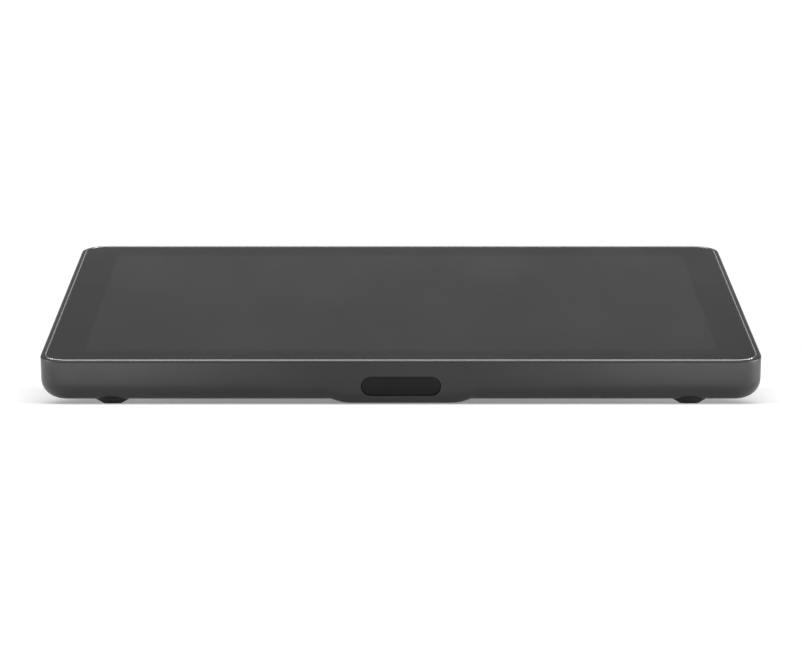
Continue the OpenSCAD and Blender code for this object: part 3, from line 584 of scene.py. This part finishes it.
def make_world():
    """A dim studio that the camera sees as white, with a low white backdrop behind the object."""
    world = bpy.data.worlds.new("studio")
    world.use_nodes = True
    nodes, links = world.node_tree.nodes, world.node_tree.links
    place = nodes.new("ShaderNodeTexCoord")
    split = nodes.new("ShaderNodeSeparateXYZ")
    links.new(place.outputs["Generated"], split.inputs[0])
    white = nodes.new("ShaderNodeMath")
    white.operation = "MULTIPLY"
    for i, (axis, start, end) in enumerate(BACKDROP):
        edge = nodes.new("ShaderNodeMapRange")
        edge.inputs["From Min"].default_value = start
        edge.inputs["From Max"].default_value = end
        links.new(split.outputs[axis], edge.inputs["Value"])
        links.new(edge.outputs["Result"], white.inputs[i])
    either = nodes.new("ShaderNodeMath")
    either.operation = "MAXIMUM"
    links.new(white.outputs[0], either.inputs[0])
    links.new(nodes.new("ShaderNodeLightPath").outputs["Is Camera Ray"], either.inputs[1])
    strength = nodes.new("ShaderNodeMapRange")
    strength.inputs["To Min"].default_value = DIM
    strength.inputs["To Max"].default_value = BRIGHT
    links.new(either.outputs[0], strength.inputs["Value"])
    links.new(strength.outputs["Result"], nodes["Background"].inputs["Strength"])
    nodes["Background"].inputs["Color"].default_value = (1, 1, 1, 1)
    bpy.context.scene.world = world


def softbox(name, place, aim, size, power):
    """A rectangular light of so many metres and watts that faces a point."""
    data = bpy.data.lights.new(name, "AREA")
    data.shape = "RECTANGLE"
    data.size, data.size_y = size
    data.energy = power
    light = bpy.data.objects.new(name, data)
    light.location = place
    light.rotation_euler = (Vector(aim) - Vector(place)).to_track_quat("-Z", "Y").to_euler()
    bpy.context.scene.collection.objects.link(light)


def make_lights():
    softbox("overhead", (0, -0.35, 1.8), (0, 0, 0), (3.2, 2.8), 48)
    for name, side, power in (("left", -1, 0.9), ("right", 1, 1.8)):
        softbox(name, (side * 0.55, -0.1, 0.03), (0, 0, 0.02), (0.3, 0.05), power)


# ---- Making it all ----
make_camera()
make_stage()
make_world()
make_lights()
bpy.context.scene.view_settings.view_transform = "Standard"

make_housing()
make_trim()
make_glass()

BASE = plastic("base_plastic", grey(0.016), 0.5)
STEEL = metal("steel_brushed", (0.55, 0.55, 0.57), 0.35, (8, 1, 1))
SCREW = metal("steel_screw", (0.5, 0.5, 0.52), 0.3)
RUBBER = rubber("foot_rubber", grey(0.015))
BRASS = metal("brass_turned", (0.72, 0.53, 0.24), 0.3)
CHIP = plastic("chip_black", grey(0.02), 0.55, 0.2 * MM)
WHITE = plastic("plastic_white", (0.7, 0.69, 0.65), 0.4)
BOARD = board_material()
ALUMINIUM = metal("aluminium_cast", (0.62, 0.62, 0.64), 0.42)
COPPER = metal("copper_sheet", (0.68, 0.36, 0.22), 0.3, (1, 8, 1))

# node, body, slot, material, width of the eased edge in mm
EASED = [
    ("sensor_window", "device", "window", window_material(), 0.12),
    ("front_feet", "device", "foot_rubber", RUBBER, 0.3),
    ("rear_feet", "device", "foot_rubber", RUBBER, 0.3),
    ("base_housing", "device", "base_plastic", BASE, 0.35),
    ("base_plate", "device", "base_plastic", BASE, 0.2),
    ("cable_cover", "cable_cover", "base_plastic", BASE, 0.25),
    ("cable_clamp", "device", "base_plastic", BASE, 0.25),
    ("port_panel", "device", "steel", STEEL, 0.12),
    ("network_socket", "device", "steel", STEEL, 0.15),
    ("hdmi_socket", "device", "steel", STEEL, 0.1),
    ("usb_sockets", "device", "steel", STEEL, 0.08),
    ("lock_plate", "device", "steel", STEEL, 0.1),
    ("plate_screws", "device", "steel", SCREW, 0.12),
    ("clamp_screws", "device", "steel", SCREW, 0.12),
    ("mount_inserts", "device", "brass", BRASS, 0.15),
    ("reset_button", "reset_button", "button_plastic",
     plastic("button_grey", grey(0.25), 0.45), 0.25),
]
for node, body, slot, material, width in EASED:
    eased(node, body, material, width * MM)

# The nodes inside keep their CAD shapes
DRESSED = {
    "glass_adhesive": rubber("adhesive_black", grey(0.01)),
    "touch_sensor": clear_material("touch_film", (0.8, 0.85, 0.85), 0.1, 0.8),
    "lcd_panel": glass_material("display_cell", (0.02, 0.021, 0.024), 0.15),
    "light_guide": clear_material("acrylic_guide", (0.9, 0.93, 0.95), 0.15, 0.7),
    "backlight_tray": WHITE,
    "led_strip": plastic("led_yellow", (0.75, 0.65, 0.25), 0.35),
    "display_frame": ALUMINIUM,
    "display_screws": SCREW,
    "main_board": BOARD,
    "board_screws": SCREW,
    "processor": CHIP,
    "memory_chips": CHIP,
    "shield_cans": metal("shield_tinned", (0.6, 0.61, 0.63), 0.28, (1, 6, 1)),
    "thermal_pad": rubber("pad_blue", (0.25, 0.3, 0.42)),
    "heat_spreader": COPPER,
    "board_sockets": WHITE,
    "display_flex": ribbon_material("flex_display", (0.3, 0.12, 0.03), (0.5, 0.26, 0.1), 0.5 * MM),
    "touch_flex": ribbon_material("flex_touch", (0.3, 0.12, 0.03), (0.5, 0.26, 0.1), 0.7 * MM),
    "sensor_board": BOARD,
    "motion_sensor": metal("sensor_can", (0.6, 0.6, 0.6), 0.25),
    "sensor_screws": SCREW,
    "sensor_cable": ribbon_material("cable_sensor", (0.6, 0.6, 0.58), (0.4, 0.4, 0.4), 1 * MM),
    "base_screws": SCREW,
    "speakers": CHIP,
    "io_board": BOARD,
    "io_screws": SCREW,
    "reset_switch": CHIP,
    "io_ribbon": ribbon_material("ribbon_grey", (0.62, 0.62, 0.6), (0.42, 0.42, 0.42), 1 * MM),
    "antenna_boards": CHIP,
}
for node, material in DRESSED.items():
    dress(node, material)
